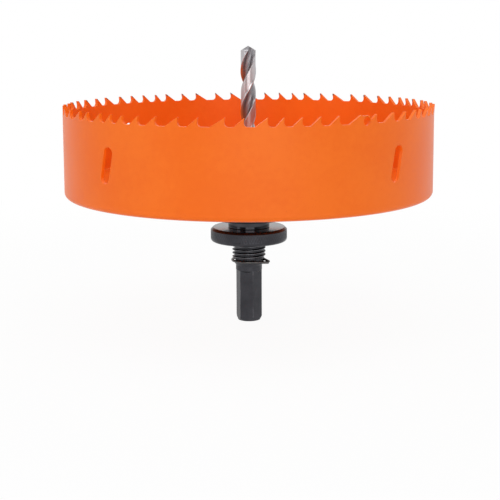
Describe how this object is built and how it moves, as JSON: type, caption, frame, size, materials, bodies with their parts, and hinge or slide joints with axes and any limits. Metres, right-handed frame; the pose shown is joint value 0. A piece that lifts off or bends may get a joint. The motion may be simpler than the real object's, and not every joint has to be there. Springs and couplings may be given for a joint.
{
  "type": "hole saw",
  "caption": "Wide cup-shaped hole saw with a toothed rim, screwed and pinned to an arbor with a hex shank, lock nut and pilot drill.",
  "frame": {"origin": "centre of the hex shank's end face", "axes": "+Z along the spindle axis towards the teeth and the pilot drill's point, -Y is the front, with one flat of the neck facing it"},
  "size_m": [0.1523, 0.1523, 0.115],
  "materials": {
    "painted_cup": "satin baked enamel, orange",
    "blackened_steel": "black oxide on turned steel",
    "spring_wire": "bright spring wire",
    "ground_steel": "ground and polished high-speed steel"
  },
  "bodies": {
    "root": {"saw_ring": "painted_cup", "back_plate": "painted_cup", "arbor_body": "blackened_steel", "retaining_ring": "spring_wire", "pilot_drill": "ground_steel", "set_screw": "blackened_steel"},
    "plate": {"drive_plate": "blackened_steel", "drive_pin_left": "blackened_steel", "drive_pin_right": "blackened_steel"},
    "nut": {"lock_nut": "blackened_steel"}
  },
  "joints": [
    {"name": "plate_travel", "type": "slide", "parent": "root", "child": "plate", "axis": [0, 0, -1], "range_m": [0, 0.0054]},
    {"name": "nut_turn", "type": "hinge", "parent": "plate", "child": "nut", "pos_m": [0, 0, 0.03], "axis": [0, 0, -1], "range_deg": [0, 1296]}
  ],
  "couplings": [
    {"joint": "nut_turn", "follows": "plate_travel", "rad_per_m": 4188.8}
  ]
}
